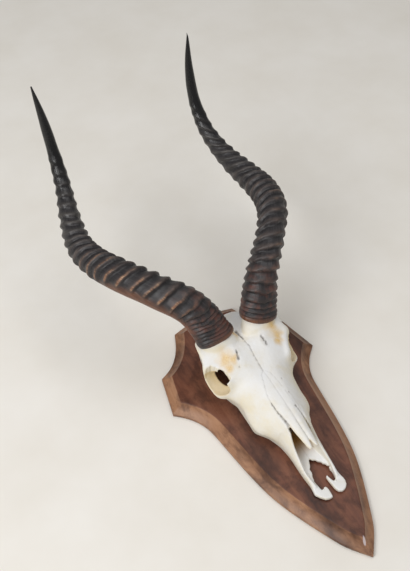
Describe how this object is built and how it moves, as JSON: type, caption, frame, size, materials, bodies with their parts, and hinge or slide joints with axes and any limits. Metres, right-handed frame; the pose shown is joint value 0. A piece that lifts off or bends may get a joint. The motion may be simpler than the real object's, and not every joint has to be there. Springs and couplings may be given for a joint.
{
  "type": "antelope skull mount",
  "caption": "Kob upper skull with long ridged S-shaped horns, fixed to a pointed bevelled wooden shield, shown lying on its flat back",
  "frame": {"origin": "on the shield's flat back face, on its centre line, halfway between its pointed tip and its top corners", "axes": "+X to the right seen from the front with the horns up, +Y from the shield's tip to the horns, +Z out of the board towards the viewer"},
  "size_m": [0.2826, 0.6036, 0.2831],
  "materials": {
    "stained_wood": "satin varnish over dark red-brown stained wood",
    "bone": "dry cleaned bone with tan stains",
    "horn": "dark ridged horn, worn brown on the crests, polished at the tips",
    "screw_steel": "plain steel",
    "plate_zinc": "zinc plated"
  },
  "bodies": {
    "root": {"shield": "stained_wood", "skull": "bone", "horn_left": "horn", "horn_right": "horn", "skull_screw_front": "screw_steel", "skull_screw_back": "screw_steel", "hanger_plate": "plate_zinc", "hanger_screw_left": "screw_steel", "hanger_screw_right": "screw_steel"}
  },
  "joints": []
}
